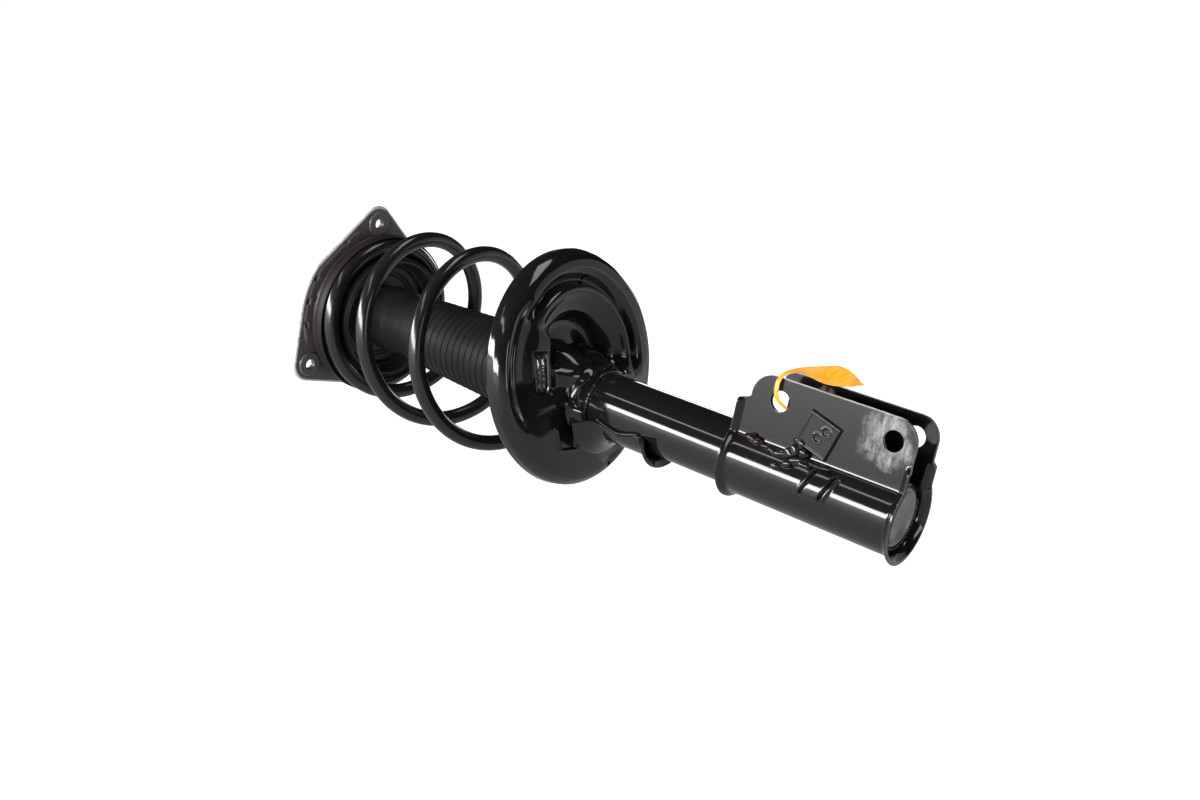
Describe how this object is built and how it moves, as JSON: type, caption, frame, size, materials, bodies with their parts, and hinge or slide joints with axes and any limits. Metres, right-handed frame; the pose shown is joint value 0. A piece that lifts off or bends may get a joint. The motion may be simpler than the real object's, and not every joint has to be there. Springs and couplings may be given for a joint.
{
  "type": "suspension strut",
  "caption": "Complete front suspension strut: damper with clamp bracket for the knuckle, coil spring between pressed seats, dust boot, steering bearing and flanged top mount",
  "frame": {"origin": "middle of the bottom face of the bounding box, with the strut lying on its side", "axes": "+X runs along the strut from the top mount down to the knuckle bracket, +Z is the way the ears of the knuckle bracket point, and +Y follows by the right-hand rule"},
  "size_m": [0.6198, 0.2006, 0.1997],
  "materials": {
    "gloss_black_paint": "gloss black stoving paint over pressed and drawn steel",
    "satin_black_plate": "satin charcoal coating on the pressed plate",
    "black_rubber": "satin black moulded rubber",
    "black_plastic": "satin black moulded plastic",
    "bearing_steel": "fine ground steel",
    "rod_chrome": "hard chrome",
    "zinc_steel": "zinc plated steel",
    "sintered_steel": "grey sintered iron",
    "orange_tag": "thin orange plastic strip",
    "bump_foam": "yellow microcellular polyurethane",
    "white_nylon": "natural nylon"
  },
  "bodies": {
    "strut_body": {"strut_tube": "gloss_black_paint", "tube_end_cap": "gloss_black_paint", "pressure_tube": "bearing_steel", "base_valve": "sintered_steel", "rod_guide": "sintered_steel", "rod_seal": "black_rubber", "lower_spring_perch": "gloss_black_paint", "lower_spring_pad": "black_rubber", "perch_bracket": "gloss_black_paint", "knuckle_bracket": "gloss_black_paint", "inspection_tag": "orange_tag", "coil_spring": "gloss_black_paint", "dust_boot": "black_rubber"},
    "spring_seat": {"upper_spring_seat": "black_plastic", "upper_spring_pad": "black_rubber", "bearing_lower_race": "bearing_steel", "bump_stop": "bump_foam"},
    "top_mount": {"mount_plate": "satin_black_plate", "mount_rubber": "black_rubber", "mount_sleeve": "zinc_steel", "mount_washer": "zinc_steel", "rod_nut": "zinc_steel", "stud_boss_1": "satin_black_plate", "stud_boss_2": "satin_black_plate", "stud_boss_3": "satin_black_plate", "bearing_cover": "black_plastic", "bearing_upper_race": "bearing_steel", "bearing_ball_ring": "white_nylon", "piston_rod": "rod_chrome", "rebound_stop": "bearing_steel", "piston": "sintered_steel", "piston_band": "white_nylon", "piston_nut": "zinc_steel"}
  },
  "joints": [
    {"name": "damper_stroke", "type": "slide", "parent": "strut_body", "child": "spring_seat", "axis": [1, 0, 0], "range_m": [0, 0.13], "stiffness_N_per_m": 28000, "deforming": ["coil_spring", "dust_boot"]},
    {"name": "steering_swivel", "type": "hinge", "parent": "spring_seat", "child": "top_mount", "pos_m": [-0.26885, 0, 0.08307], "axis": [1, 0, 0], "range_deg": [-40, 40]}
  ]
}
